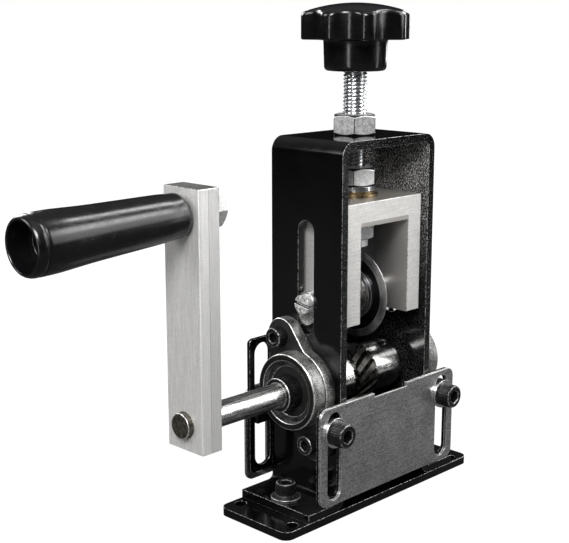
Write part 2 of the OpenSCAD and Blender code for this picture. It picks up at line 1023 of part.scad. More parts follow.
module star_knob() {
  color(black_plastic)
    difference() {
      union() {
        translate([0, 0, rim_bottom])
          difference() {
            rotate(knob_turn)
              linear_extrude(rim_h + dome_h)
                lobed_outline();
            above_dome();
            under_lobes();
          }
        translate([0, 0, hub_bottom])
          rotate_extrude()
            polygon([
              [0, 0],
              [knob_hub_d / 2 - 1.9, 0],
              [knob_hub_d / 2 - 0.9, 0.5],
              [knob_hub_d / 2 - 0.4, 1.6],
              [knob_hub_d / 2, knob_hub_h + eps],
              [0, knob_hub_h + eps]
            ]);
      }
      translate([0, 0, hub_bottom - eps])
        cylinder(d = rod_d + 2 * fit, h = knob_bore_h + eps);
    }
}

base_plate();
frame_bracket();
foot_screws();
foot_spring_washers();
foot_flat_washers();
front_bracket();
rear_bracket();
left_bearing_housing();
right_bearing_housing();
bearing_outer_rings();
bearing_balls();
bearing_seals();
bearing_screws();
top_nut();
guide_screws();
guide_washers();
guide_nuts();
front_guide_plate();
rear_guide_plate();
crank_shaft();
drive_wheel();
wheel_grub_screw();
bearing_inner_rings();
collar_grub_screws();
crank_arm();
handle_bolt();
handle_nut();
handle_grip();
blade_block();
slot_guides();
blade_axle();
spacer_sleeves();
blade_inner_ring();
blade_balls();
brass_washers();
blade_disc();
blade_outer_ring();
adjusting_screw();
star_knob();
clamp_nuts();
clamp_washer();
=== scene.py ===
"""Looks of the manual cable stripping machine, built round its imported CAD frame. Metres, Z up."""

import json
import math

import bmesh
import bpy
from mathutils import Matrix, Vector

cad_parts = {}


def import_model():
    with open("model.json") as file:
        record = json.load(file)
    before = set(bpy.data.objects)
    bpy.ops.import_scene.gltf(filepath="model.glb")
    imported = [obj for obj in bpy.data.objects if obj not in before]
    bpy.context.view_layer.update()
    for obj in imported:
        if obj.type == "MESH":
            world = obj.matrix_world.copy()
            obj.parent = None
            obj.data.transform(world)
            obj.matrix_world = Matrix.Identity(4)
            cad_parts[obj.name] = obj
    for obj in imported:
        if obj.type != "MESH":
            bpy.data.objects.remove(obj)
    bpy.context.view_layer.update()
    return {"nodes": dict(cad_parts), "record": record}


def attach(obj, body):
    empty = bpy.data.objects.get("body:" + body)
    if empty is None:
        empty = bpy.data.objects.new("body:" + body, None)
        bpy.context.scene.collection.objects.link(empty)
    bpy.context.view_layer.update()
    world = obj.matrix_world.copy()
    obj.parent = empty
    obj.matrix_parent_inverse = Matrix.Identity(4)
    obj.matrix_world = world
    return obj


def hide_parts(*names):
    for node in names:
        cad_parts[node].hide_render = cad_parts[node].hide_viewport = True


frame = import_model()

MM = 0.001
TAU = 2 * math.pi
SIDES = (-1, 1)


def reach(node, pick, axis):
    """Where a CAD node starts (min) or ends (max) along an axis, in millimetres."""
    return round(pick(getattr(v.co, axis) for v in frame["nodes"][node].data.vertices) / MM, 2)


def middle(node, axis):
    """Middle of a CAD node along an axis, in millimetres."""
    return (reach(node, min, axis) + reach(node, max, axis)) / 2


# Sizes read from the frame, in millimetres
WALL_OUT = reach("right_bearing_housing", min, "x")
BOSS_END = reach("right_bearing_housing", max, "x")
STRIP_TOP = reach("frame_bracket", max, "z")
STRIP_EDGE = reach("frame_bracket", max, "y")
SHAFT_Z = middle("drive_wheel", "z")
BLADE_Z = middle("blade_disc", "z")
AXLE_END = reach("blade_axle", max, "x")
COLLAR_END = reach("bearing_inner_rings", max, "x")
ARM_OUT = -reach("crank_arm", min, "x")
ARM_TOP = reach("crank_arm", max, "z")
BLOCK_OUT = reach("blade_block", max, "x")
BLOCK_TOP = reach("blade_block", max, "z")
HUB_BOTTOM = reach("star_knob", min, "z")
KNOB_TOP = reach("star_knob", max, "z")
ROD_LOW = reach("adjusting_screw", min, "z")
ROD_HIGH = reach("adjusting_screw", max, "z")
ROD_R = reach("adjusting_screw", max, "x")
TOP_NUT = (reach("top_nut", min, "z"), reach("top_nut", max, "z"))
CLAMP_NUTS = (reach("clamp_nuts", min, "z"), reach("clamp_nuts", max, "z"))
CLAMP_FACE = reach("guide_washers", max, "y")
CLAMP_Z = middle("guide_washers", "z")
FOOT_SEAT = reach("foot_spring_washers", max, "z")

# Sizes repeated from the part, in millimetres
STRIP_T = 3.5
WALL_IN = WALL_OUT - STRIP_T
ARM_END = 10.0
HANDLE_Z = ARM_TOP - ARM_END
BLOCK_WALL = 8.1
AXLE_SLOT = 1.2
AXLE_SLOT_DEPTH = 1.5
KNOB_R = 22.5
KNOB_HUB_H = 12.5
KNOB_BORE_H = 18.0
LOBES = 8
LOBE_DEPTH = 3.25
DOME_RISE = 4.0
NUT_AF = 17.0
CLAMP_NUT_H = 7.8
SLEEVE_H = 3.3
FLANGE_T = 5.3
BOLT = (9.0, 21.0)
LOBE_R = 7.5
MID_R = 16.9
FLANK_R = 13.3
FLANK_FILLET = 4.0
CLAMP_X = 34.9
FOOT_SCREW_X = 40.4

# Angles repeated from the part
AXLE_SLOT_LEAN = math.radians(10)
KNOB_TURN = math.radians(9.7)
NUT_TURN = math.radians(41)
HANDLE_DROOP = math.radians(2.2)

# Socket screws: head diameter and height, shank diameter and length, socket across flats
BEARING_SCREW = (8.5, 5, 5, 8.6, 4)
GUIDE_SCREW = (10, 6, 6, 6.1, 5)
FOOT_SCREW = (8.5, 5, 5, 8.8, 4)


# Nodes and materials


def rgba(tone):
    """A grey value or an RGB colour as an opaque colour."""
    return (*tone, 1.0) if isinstance(tone, tuple) else (tone, tone, tone, 1.0)


class Nodes:
    """Short ways to add nodes to a shader tree."""

    def __init__(self, tree):
        self.tree = tree

    def link(self, a, b):
        self.tree.links.new(a, b)

    def node(self, kind, **values):
        n = self.tree.nodes.new(kind)
        for key, value in values.items():
            if hasattr(n, key):
                setattr(n, key, value)
            else:
                n.inputs[key.replace("_", " ")].default_value = value
        return n

    def math(self, op, a, b=None):
        m = self.node("ShaderNodeMath", operation=op)
        for socket, value in zip(m.inputs, (a, b)):
            if isinstance(value, (int, float)):
                socket.default_value = value
            elif value is not None:
                self.link(value, socket)
        return m.outputs[0]

    def product(self, first, *others):
        for value in others:
            first = self.math("MULTIPLY", first, value)
        return first

    def blend(self, *parts):
        """Sum of (value, weight) pairs."""
        total = 0.0
        for value, weight in parts:
            total = self.math("ADD", total, self.math("MULTIPLY", value, weight))
        return total

    def between(self, value, low, high):
        """1 where the value lies between low and high, and 0 elsewhere."""
        return self.product(self.math("GREATER_THAN", value, low), self.math("LESS_THAN", value, high))

    def remap(self, value, low, high, start=0.3, end=0.7):
        """Maps the span from start to end onto low to high, and stops at both."""
        limits = {"From_Min": start, "From_Max": end, "To_Min": low, "To_Max": high}
        m = self.node("ShaderNodeMapRange", **limits)
        self.link(value, m.inputs["Value"])
        return m.outputs[0]

    def part(self, vector, name):
        """One component of a vector."""
        split = self.node("ShaderNodeSeparateXYZ")
        self.link(vector, split.inputs[0])
        return split.outputs[name]


class Material(Nodes):
    """A material with one Principled shader, textured in object coordinates."""

    def __init__(self, name, metallic=0.0, roughness=0.4, **sockets):
        self.name = name
        self.material = bpy.data.materials.new(name)
        self.material.use_nodes = True
        super().__init__(self.material.node_tree)
        self.tree.nodes.clear()
        out = self.node("ShaderNodeOutputMaterial")
        self.shader = self.node("ShaderNodeBsdfPrincipled")
        self.link(self.shader.outputs[0], out.inputs[0])
        for socket, value in {"Metallic": metallic, "Roughness": roughness, **sockets}.items():
            self.shader.inputs[socket.replace("_", " ")].default_value = value
        coords = self.node("ShaderNodeTexCoord")
        self.coords = coords.outputs["Object"]
        self.normal = coords.outputs["Normal"]

    def noise(self, scale, detail=3.0, rough=0.55, rotate=(0, 0, 0)):
        """Noise with scale cells to the metre, or with one such number for each axis."""
        mapping = self.node("ShaderNodeMapping")
        mapping.inputs["Rotation"].default_value = rotate
        mapping.inputs["Scale"].default_value = scale if isinstance(scale, tuple) else (scale,) * 3
        self.link(self.coords, mapping.inputs["Vector"])
        n = self.node("ShaderNodeTexNoise", Scale=1.0, Detail=detail, Roughness=rough)
        self.link(mapping.outputs[0], n.inputs["Vector"])
        return n.outputs["Fac"]

    def ramp(self, value, *stops):
        r = self.node("ShaderNodeValToRGB")
        for element, (place, tone) in zip(r.color_ramp.elements, stops):
            element.position = place
            element.color = rgba(tone)
        self.link(value, r.inputs[0])
        return r.outputs[0]

    def mix(self, factor, a, b):
        m = self.node("ShaderNodeMix", data_type="RGBA")
        self.link(factor, m.inputs["Factor"])
        sockets = [s for s in m.inputs if s.type == "RGBA"]
        for socket, value in zip(sockets, (a, b)):
            if isinstance(value, (tuple, float)):
                socket.default_value = rgba(value)
            else:
                self.link(value, socket)
        return [s for s in m.outputs if s.type == "RGBA"][0]

    def colour(self, value):
        self.link(value, self.shader.inputs["Base Color"])

    def rough(self, value):
        self.link(value, self.shader.inputs["Roughness"])

    def bump(self, height, distance_mm, strength=1.0):
        b = self.node("ShaderNodeBump", Strength=strength, Distance=distance_mm * MM)
        self.link(height, b.inputs["Height"])
        self.link(b.outputs[0], self.shader.inputs["Normal"])

    def axis(self, name):
        return self.part(self.coords, name)

    def off_middle(self, name):
        """Distance from the middle along an axis."""
        return self.math("ABSOLUTE", self.axis(name))

    def facing(self, name):
        """How far the surface's own normal points along an axis, either way, from 0 to 1."""
        return self.math("ABSOLUTE", self.part(self.normal, name))

    def radius_at(self, height_mm):
        """Distance from the line along X at that height."""
        y = self.axis("Y")
        z = self.math("SUBTRACT", self.axis("Z"), height_mm * MM)
        return self.math("SQRT", self.math("ADD", self.product(y, y), self.product(z, z)))


def black_paint():
    """Glossy black paint; the strip's inner side and its cut edges are rough and speckled."""
    m = Material("black_paint", Specular_IOR_Level=0.45)
    skin = 0.1 * MM
    edge = STRIP_EDGE * MM
    across = m.off_middle("X")
    depth = m.off_middle("Y")
    height = m.axis("Z")
    inner = m.product(
        m.math("LESS_THAN", across, (WALL_IN + 0.05) * MM),
        m.between(height, (STRIP_T + 0.5) * MM, (STRIP_TOP - 2) * MM),
        m.math("LESS_THAN", depth, edge - skin),
    )
    cut = m.product(
        m.between(depth, edge - skin, edge + skin),
        m.math("GREATER_THAN", height, 8 * MM),
        m.math("LESS_THAN", across, WALL_OUT * MM + skin),
    )
    blotch = m.noise(90, 4)
    grain = m.noise((2100, 2100, 1300), 3, 0.75)
    patches = m.ramp(m.noise((60, 60, 45), 3, 0.6), (0.35, 0.25), (0.62, 1.0))
    upper = m.remap(height, 0.10, 1.0, 85 * MM, 140 * MM)
    speckle = m.product(inner, patches, upper)
    spots = m.product(speckle, m.ramp(grain, (0.52, 0.0), (0.62, 1.0)))
    dots = m.product(cut, m.ramp(m.noise(1900, 2, 0.6), (0.60, 0.0), (0.68, 0.3)))
    base = m.ramp(blotch, (0.3, (0.0008, 0.0008, 0.0009)), (0.7, (0.0016, 0.0016, 0.0017)))
    m.colour(m.mix(m.math("MAXIMUM", spots, dots), base, (0.72, 0.71, 0.69)))
    m.rough(m.math("ADD", m.remap(blotch, 0.10, 0.17), m.product(speckle, 0.25)))
    m.bump(m.math("ADD", m.product(m.noise(2600, 2), 0.04), m.product(speckle, grain)), 0.12, 0.6)
    return m


def painted_highlight_edge(name, metallic, low, high, rough, scale=900, shaded_corners=False):
    """Rounded edges with a painted highlight, bright in places; on a nut the upright corners carry painted
    shade.
    """
    m = Material(name, metallic=metallic)
    grain = m.noise(scale, 3, 0.65)
    tone = m.ramp(grain, low, high)
    # Painted shade: the upright corners stay dark
    if shaded_corners:
        tone = m.mix(m.math("LESS_THAN", m.facing("Z"), 0.12), tone, 0.02)
    m.colour(tone)
    m.rough(m.remap(grain, *rough))
    m.bump(grain, 0.02, 0.3)
    return m


def cast_housing():
    """Tumbled cast metal with a matt grain; the flange's face and the turned boss end are darker, as painted
    shade.
    """
    m = Material("cast_housing", metallic=0.85)
    grain = m.noise(1900, 3, 0.65)
    tone = m.blend((m.noise(160, 4), 0.45), (grain, 0.55))
    cast = m.ramp(tone, (0.42, (0.05, 0.05, 0.049)), (0.58, (0.40, 0.40, 0.39)))
    turned = m.math("GREATER_THAN", m.off_middle("X"), (BOSS_END - 0.4) * MM)
    shaded_face = m.math("GREATER_THAN", m.facing("X"), 0.8)
    # Painted shade: faces that point along X are darker, and the turned boss end darker still; the boss end
    # is also smoother
    m.colour(m.mix(turned, m.mix(shaded_face, cast, (0.045, 0.045, 0.044)), (0.022, 0.022, 0.021)))
    m.rough(m.remap(m.noise(300, 3), 0.42, 0.58))
    m.bump(m.product(grain, m.math("SUBTRACT", 1.0, m.product(turned, 0.85))), 0.14, 0.8)
    return m


def plated(name, low, high, rough):
    """Zinc plating: fine clouding and scratches."""
    m = Material(name, metallic=1.0)
    frost = m.noise(1500, 3, 0.7)
    m.colour(m.ramp(m.blend((m.noise(220, 4), 0.5), (frost, 0.5)), (0.38, low), (0.62, high)))
    m.rough(m.remap(frost, *rough))
    m.bump(m.noise((300, 300, 3800), 3, 0.6), 0.02, 0.5)
    return m


def frosted_plating(name, low, high, metallic=0.45, specular=0.6, shaded_chamfers=True):
    """Dull crystalline zinc of the nuts, part matt; an upright nut's chamfers carry painted shade."""
    m = Material(name, metallic=metallic, Specular_IOR_Level=specular)
    frost = m.noise(2300, 3, 0.75)
    tone = m.ramp(m.blend((m.noise(700, 3, 0.6), 0.4), (frost, 0.6)), (0.38, low), (0.62, high))
    if shaded_chamfers:
        # Painted shade on the chamfers of an upright nut
        tone = m.mix(m.between(m.facing("Z"), 0.3, 0.97), tone, 0.02)
    m.colour(tone)
    m.rough(m.remap(frost, 0.30, 0.50))
    m.bump(frost, 0.05, 0.6)
    return m


def ground_steel():
    """Turned and drawn steel with lines along the shaft; the shaft's sawn end is brown and dull."""
    m = Material("ground_steel", metallic=1.0)
    lines = m.noise((60, 2600, 2600), 4, 0.7)
    tone = m.blend((lines, 0.7), (m.noise(700, 3, 0.65), 0.3))
    bright = m.ramp(tone, (0.40, (0.20, 0.20, 0.197)), (0.58, (0.80, 0.80, 0.79)))
    dull = m.ramp(m.noise(600, 4), (0.35, (0.045, 0.041, 0.035)), (0.65, (0.15, 0.138, 0.118)))
    end = m.math("LESS_THAN", m.axis("X"), -(ARM_OUT + 0.05) * MM)
    m.colour(m.mix(end, bright, dull))
    m.rough(m.math("ADD", m.remap(lines, 0.20, 0.34), m.product(end, 0.3)))
    m.bump(lines, 0.025, 0.6)
    return m


def axle_steel():
    """Turned steel of the blade's axle, with painted shade in the screwdriver slot across each end."""
    m = Material("axle_steel", metallic=0.55)
    x = m.axis("X")
    z = m.math("SUBTRACT", m.axis("Z"), BLADE_Z * MM)
    lean = m.product(m.axis("Y"), m.math("SIGN", x), math.sin(AXLE_SLOT_LEAN))
    off = m.math("ABSOLUTE", m.math("ADD", m.product(z, math.cos(AXLE_SLOT_LEAN)), lean))
    end = m.math("GREATER_THAN", m.math("ABSOLUTE", x), (AXLE_END - AXLE_SLOT_DEPTH - 0.1) * MM)
    # Painted shade: the screwdriver slot is near black
    slot = m.product(end, m.math("LESS_THAN", off, (AXLE_SLOT / 2 + 0.04) * MM))
    turned = m.noise((5200, 900, 900), 3, 0.6)
    bright = m.ramp(turned, (0.38, (0.24, 0.24, 0.235)), (0.60, (0.80, 0.80, 0.79)))
    m.colour(m.mix(slot, bright, 0.004))
    m.rough(m.math("ADD", m.remap(turned, 0.30, 0.45), m.product(slot, 0.4)))
    m.bump(turned, 0.04, 0.6)
    return m


def black_oxide():
    """Blackened steel of the screws, slightly glossy."""
    m = Material("black_oxide", metallic=0.2, Specular_IOR_Level=0.42)
    m.colour(m.ramp(m.noise(420, 4), (0.3, (0.002, 0.002, 0.0023)), (0.7, (0.010, 0.010, 0.0105))))
    m.rough(m.remap(m.noise(900, 3), 0.18, 0.32))
    m.bump(m.noise(3000, 2), 0.03, 0.4)
    return m


def brushed_plate():
    """Sheet steel brushed along X, mottled."""
    m = Material("brushed_plate", metallic=1.0, Anisotropic=0.3)
    lines = m.noise((40, 900, 3200), 4, 0.6)
    mottled = m.noise((1600, 1600, 3000), 4, 0.75)
    tone = m.blend((m.noise(120, 5, 0.6), 0.12), (mottled, 0.66), (lines, 0.22))
    m.colour(m.ramp(tone, (0.42, 0.24), (0.58, 0.84)))
    m.rough(m.remap(lines, 0.30, 0.44))
    m.bump(m.math("ADD", lines, m.product(mottled, 0.8)), 0.02, 0.6)
    return m


def milled_aluminium():
    """Drawn bar with lines along the arm and a line of painted shade down its side, a filed block with
    painted shade on its top and in its pocket, and sawn ends darkened as painted shade.
    """
    m = Material("milled_aluminium", metallic=0.7)
    x = m.axis("X")
    z = m.axis("Z")
    arm = m.math("LESS_THAN", x, -70 * MM)
    block = m.math("SUBTRACT", 1.0, arm)
    cuts = m.noise((700, 700, 5200), 3, 0.7, (0.62, 0.35, 0.2))
    long_cuts = m.noise((140, 140, 2600), 4, 0.75, (0.70, -0.5, 0.4))
    drawn = m.product(m.noise((1700, 1700, 90), 4, 0.7), arm)
    tone = m.blend((drawn, 0.6), (m.noise(1300, 4, 0.7), 0.4), (m.product(block, long_cuts), 0.6))
    filed = m.ramp(tone, (0.36, (0.60, 0.59, 0.57)), (0.64, (0.88, 0.87, 0.85)))
    polished = m.ramp(tone, (0.36, (0.70, 0.69, 0.67)), (0.64, (0.96, 0.955, 0.94)))
    bar = m.mix(arm, filed, polished)

    # Painted shade: a dark line runs down the arm's side, and the strip beside it is greyer, marking where
    # the reflected light changes
    beside = m.math("SUBTRACT", x, (4.5 - ARM_OUT) * MM)
    line = m.product(arm, m.math("LESS_THAN", m.math("ABSOLUTE", beside), 0.14 * MM), 0.7)
    strip = m.product(arm, m.math("GREATER_THAN", beside, 0.0), 0.25)
    bar = m.mix(m.math("MAXIMUM", line, strip), bar, 0.30)
    # Painted shade: the block's top face is darker
    shaded_top = m.product(block, m.math("GREATER_THAN", z, (BLOCK_TOP - 0.02) * MM))
    bar = m.mix(shaded_top, bar, (0.30, 0.28, 0.25))

    # Painted shade: the block's pocket darkens towards the back
    shaded_pocket = m.product(
        m.math("LESS_THAN", m.math("ABSOLUTE", x), (BLOCK_OUT - BLOCK_WALL - 0.03) * MM),
        m.math("LESS_THAN", z, (BLOCK_TOP - BLOCK_WALL) * MM),
    )
    backwards = m.remap(m.axis("Y"), 0.0, 1.0, -17 * MM, 6 * MM)
    shade = m.ramp(backwards, (0.0, (0.42, 0.40, 0.38)), (0.75, 0.10))
    bar = m.mix(shaded_pocket, bar, shade)

    # The arm's sawn top end: a saw texture, darkened as painted shade
    sawn = m.noise((2400, 500, 500), 4, 0.75, (0, 0, 0.5))
    sawn_shade = m.ramp(sawn, (0.36, (0.03, 0.03, 0.029)), (0.64, (0.16, 0.157, 0.150)))
    end = m.math("GREATER_THAN", z, (ARM_TOP - 0.02) * MM)
    m.colour(m.mix(end, bar, sawn_shade))
    m.rough(m.math("ADD", m.remap(long_cuts, 0.32, 0.46), m.product(end, 0.2)))
    m.bump(m.blend((cuts, 0.4), (long_cuts, 0.4), (drawn, 0.5)), 0.05, 0.7)
    return m


def blade_steel():
    """Dark blade turned in fine rings, bright on its ground edge and its hub."""
    m = Material("blade_steel", metallic=1.0)
    radius = m.radius_at(BLADE_Z)
    turning = m.node("ShaderNodeTexNoise", noise_dimensions="1D", Scale=1.0, Detail=3.0)
    m.link(m.product(radius, 9000.0), turning.inputs["W"])
    rings = turning.outputs["Fac"]
    ground = m.math("GREATER_THAN", radius, 15.75 * MM)
    hub = m.math("LESS_THAN", radius, 11.3 * MM)
    dark = m.ramp(rings, (0.3, (0.030, 0.030, 0.034)), (0.7, (0.065, 0.065, 0.070)))
    streak = m.blend((rings, 0.5), (m.noise(160, 3), 0.5))
    shiny = m.ramp(streak, (0.40, (0.16, 0.16, 0.17)), (0.60, (0.72, 0.72, 0.72)))
    m.colour(m.mix(m.math("MAXIMUM", ground, hub), dark, shiny))
    m.rough(m.math("ADD", m.remap(rings, 0.18, 0.34), m.product(ground, 0.14)))
    m.bump(rings, 0.02, 0.5)
    return m


def wheel_steel():
    """Bright hubs with darker teeth between them."""
    m = Material("wheel_steel", metallic=1.0)
    rim = m.math("GREATER_THAN", m.radius_at(SHAFT_Z), 10.62 * MM)
    cloud = m.noise(300, 4)
    bright = m.ramp(cloud, (0.3, (0.42, 0.42, 0.41)), (0.7, (0.56, 0.56, 0.55)))
    dark = m.ramp(cloud, (0.35, (0.012, 0.012, 0.011)), (0.7, (0.070, 0.068, 0.062)))
    m.colour(m.mix(rim, bright, dark))
    m.rough(m.math("ADD", m.remap(cloud, 0.16, 0.26), m.product(rim, 0.08)))
    m.bump(m.noise((5000, 60, 60), 3, 0.6), 0.015, 0.5)
    return m


def brass():
    """Dull brass of the two washers."""
    m = Material("brass", metallic=1.0)
    m.colour(m.ramp(m.noise(350, 4), (0.3, (0.18, 0.13, 0.075)), (0.7, (0.38, 0.29, 0.17))))
    m.rough(m.remap(m.noise(700, 3), 0.22, 0.40))
    m.bump(m.noise(2500, 2), 0.02, 0.4)
    return m


def black_plastic(name, rough, grain):
    """Smooth black plastic with a faint grain."""
    m = Material(name, Specular_IOR_Level=0.42)
    m.colour(m.ramp(m.noise(120, 4), (0.3, (0.0014, 0.0014, 0.0016)), (0.7, (0.0030, 0.0030, 0.0035))))
    m.rough(m.remap(m.noise(300, 3), *rough))
    m.bump(m.noise(grain, 3), 0.03, 0.25)
    return m


def seal_rubber():
    """Matt black rubber of the bearings' seals."""
    m = Material("seal_rubber", Specular_IOR_Level=0.22)
    m.colour(m.ramp(m.noise(500, 4), (0.3, 0.004), (0.7, (0.012, 0.012, 0.011))))
    m.rough(m.remap(m.noise(900, 3), 0.45, 0.65))
    m.bump(m.noise(2200, 3), 0.05, 0.4)
    return m


MATERIALS = {m.name: m.material for m in (
    black_paint(),
    # Painted highlight: these edge materials paint bright lines along the rounded edges
    painted_highlight_edge("worn_paint", 0.6, (0.40, 0.02), (0.60, (0.62, 0.62, 0.60)), (0.22, 0.34), scale=1100),
    painted_highlight_edge("bright_edge", 0.8, (0.38, (0.42, 0.42, 0.41)), (0.64, (0.86, 0.86, 0.85)), (0.24, 0.38)),
    painted_highlight_edge("oxide_edge", 0.7, (0.40, 0.03), (0.62, 0.30), (0.24, 0.36)),
    painted_highlight_edge("nut_edge", 0.7, (0.38, 0.70), (0.64, 0.95), (0.28, 0.40), shaded_corners=True),
    cast_housing(),
    plated("zinc_plated", (0.58, 0.59, 0.60), (0.74, 0.75, 0.76), (0.14, 0.28)),
    # Painted shade: a darker copy of the zinc for the foot washers and the bearings' outer rings
    plated("dull_plating", 0.05, 0.20, (0.30, 0.45)),
    frosted_plating("frosted_plating", 0.15, 0.56),
    # Painted light: a brighter copy of the nuts' zinc, for the clamp nuts that sit in shade
    frosted_plating("clear_plating", 0.50, 0.95),
    frosted_plating("side_plating", 0.30, 0.62, metallic=0.1, specular=0.15, shaded_chamfers=False),
    ground_steel(),
    axle_steel(),
    black_oxide(),
    brushed_plate(),
    milled_aluminium(),
    blade_steel(),
    wheel_steel(),
    brass(),
    black_plastic("black_plastic", (0.17, 0.25), 350),
    black_plastic("grip_plastic", (0.19, 0.28), (120, 1500, 1500)),
    seal_rubber(),
)}
SLOT_OF = {s["node"]: s["material_slot"] for s in frame["record"]["subparts"]}
BODY_OF = {n: b for b, nodes in frame["record"]["behaviour"]["bodies"].items() for n in nodes}


# Mesh helpers


def new_object(name, bm, material, edge=None, sharp=35):
    """An object from a mesh, which is used up. The faces with material index 1 take the edge material."""
    mesh = bpy.data.meshes.new(name)
    bm.to_mesh(mesh)
    bm.free()
    for p in mesh.polygons:
        p.use_smooth = True
    mesh.set_sharp_from_angle(angle=math.radians(sharp))
    mesh.materials.append(MATERIALS[material])
    if edge:
        mesh.materials.append(MATERIALS[edge])
    obj = bpy.data.objects.new(name, mesh)
    bpy.context.collection.objects.link(obj)
    return obj


def stand_for(obj, node):
    """Puts an object in the place of a CAD node, on the same body, and hides the node."""
    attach(obj, BODY_OF[node])
    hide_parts(node)


def refine(node, width_mm, edge=None, material=None, beyond_mm=0.0):
    """Copies a CAD node with its hard edges slightly rounded, so that they catch the light; where an edge
    material is given, the rounding takes it as a painted highlight.
    beyond_mm leaves out the edges nearer than that to the middle, along X."""
    bm = bmesh.new()
    bm.from_mesh(frame["nodes"][node].data)
    bmesh.ops.remove_doubles(bm, verts=bm.verts, dist=2e-6)
    bmesh.ops.dissolve_limit(bm, angle_limit=math.radians(0.5), verts=bm.verts, edges=bm.edges)
    hard = [
        e for e in bm.edges
        if len(e.link_faces) == 2 and e.calc_face_angle(0.0) > math.radians(28)
        and min(abs(v.co.x) for v in e.verts) >= beyond_mm * MM
    ]
    bmesh.ops.bevel(
        bm, geom=hard, offset=width_mm * MM, offset_type="OFFSET", segments=2,
        profile=0.5, affect="EDGES", clamp_overlap=True, material=1 if edge else -1,
    )
    bmesh.ops.recalc_face_normals(bm, faces=bm.faces)
    obj = new_object(node + "_fine", bm, material or SLOT_OF[node], edge, 40)
    weighted = obj.modifiers.new("normals", "WEIGHTED_NORMAL")
    weighted.keep_sharp = True
    stand_for(obj, node)


def polar_grid(rows, columns, edges=()):
    """A closed skin: each row is a function of angle giving (radius, height).
    The bands above the rows named in edges take the second material."""
    bm = bmesh.new()
    rings = []
    for row in rows:
        if row(0.0)[0] < 1e-9:
            rings.append([bm.verts.new((0, 0, row(0.0)[1] * MM))])
            continue
        loop = []
        for i in range(columns):
            a = TAU * i / columns
            r, h = row(a)
            loop.append(bm.verts.new((r * math.cos(a) * MM, r * math.sin(a) * MM, h * MM)))
        rings.append(loop)
    for number, (low, high) in enumerate(zip(rings, rings[1:])):
        for i in range(columns):
            j = (i + 1) % columns
            if len(low) == 1:
                face = bm.faces.new((low[0], high[j], high[i]))
            elif len(high) == 1:
                face = bm.faces.new((low[i], low[j], high[0]))
            else:
                face = bm.faces.new((low[i], low[j], high[j], high[i]))
            face.material_index = int(number in edges)
    if len(rings[0]) > 1 and len(rings[-1]) > 1:
        for i in range(columns):
            j = (i + 1) % columns
            bm.faces.new((rings[-1][i], rings[-1][j], rings[0][j], rings[0][i]))
    bmesh.ops.recalc_face_normals(bm, faces=bm.faces)
    return bm


def ring(radius, height):
    """A round row of a polar grid."""
    return lambda a: (radius, height)


def place(bm, position_mm, axis):
    """Turns a shape built along +Z so that it points along axis, and moves it."""
    turn = Vector(axis).to_track_quat("Z", "Y").to_matrix().to_4x4()
    bm.transform(Matrix.Translation(Vector(position_mm) * MM) @ turn)


def joined(parts):
    """One mesh holding several."""
    whole = bmesh.new()
    for bm in parts:
        mesh = bpy.data.meshes.new("part")
        bm.to_mesh(mesh)
        bm.free()
        whole.from_mesh(mesh)
        bpy.data.meshes.remove(mesh)
    return whole


# Socket screws


def socket_screw(head_d, head_h, shank_d, length, socket_af):
    """Socket head screw along +Z: underside of the head at 0, shank towards -Z, with a knurled side."""
    head = head_d / 2
    shank = shank_d / 2
    floor_h = head_h * 0.45
    knurls = 36

    def hexagon(a):
        return socket_af / 2 / math.cos((a + math.pi / 6) % (math.pi / 3) - math.pi / 6)

    def knurl(a):
        return head - 0.10 + 0.10 * math.cos(a * knurls)

    rows = [ring(0, floor_h)]
    for widen, h in ((0.0, floor_h + 0.3), (0.0, head_h - 0.35), (0.25, head_h - 0.05), (0.35, head_h)):
        rows.append(lambda a, w=widen, h=h: (hexagon(a) + w, h))
    for inset, drop in ((0.75, 0.0), (0.42, 0.07), (0.2, 0.25), (0.08, 0.5)):
        rows.append(ring(head - inset, head_h - drop))
    rows.append(lambda a: (knurl(a), head_h - 0.9))
    rows.append(lambda a: (knurl(a), 0.7))
    rows += [ring(head - 0.08, 0.35), ring(head - 0.25, 0.0), ring(shank, 0.0)]
    rows += [ring(shank, -length + 0.5), ring(shank - 0.5, -length), ring(0, -length)]
    return polar_grid(rows, knurls * 4, (2, 3, 5, 6))


def screw_set(node, sizes, places):
    """Screws of one kind, each at a position and pointing its head in a direction."""
    parts = []
    for position, direction in places:
        bm = socket_screw(*sizes)
        place(bm, position, direction)
        parts.append(bm)
    # Painted highlight: the bands at the socket's rim and the head's outer rounding take the oxide edge
    # material
    stand_for(new_object(node + "_fine", joined(parts), "black_oxide", "oxide_edge"), node)


def screws():
    screw_set("bearing_screws", BEARING_SCREW, [
        ((side * (WALL_OUT + FLANGE_T), s * BOLT[0], SHAFT_Z + s * BOLT[1]), (side, 0, 0))
        for side in SIDES for s in SIDES
    ])
    screw_set("guide_screws", GUIDE_SCREW, [
        ((side * CLAMP_X, face * CLAMP_FACE, CLAMP_Z), (0, face, 0)) for side in SIDES for face in SIDES
    ])
    screw_set("foot_screws", FOOT_SCREW, [((side * FOOT_SCREW_X, 0, FOOT_SEAT), (0, 0, 1)) for side in SIDES])


# Adjusting screw


def adjusting_screw():
    """M10 right-hand thread from end to end, run out and chamfered at both ends."""
    depth = 0.85
    pitch = 1.5
    chamfer = 0.25
    count = int((ROD_HIGH - ROD_LOW) / pitch * 8)

    def row(k):
        z = ROD_LOW + (ROD_HIGH - ROD_LOW) * k / count
        grow = min(1.0, min(z - ROD_LOW, ROD_HIGH - z) / (pitch * 0.7))
        cut = chamfer if k in (0, count) else 0.0

        def at(a):
            phase = (z / pitch - a / TAU) % 1.0
            wave = min(1.0, max(0.0, (abs(phase - 0.5) * 2 - 0.12) / 0.76))
            return ROD_R - depth + depth * wave * grow - cut, z

        return at

    rows = [ring(0, ROD_LOW)] + [row(k) for k in range(count + 1)] + [ring(0, ROD_HIGH)]
    stand_for(new_object("adjusting_screw_fine", polar_grid(rows, 48), "zinc_plated"), "adjusting_screw")


# Nuts


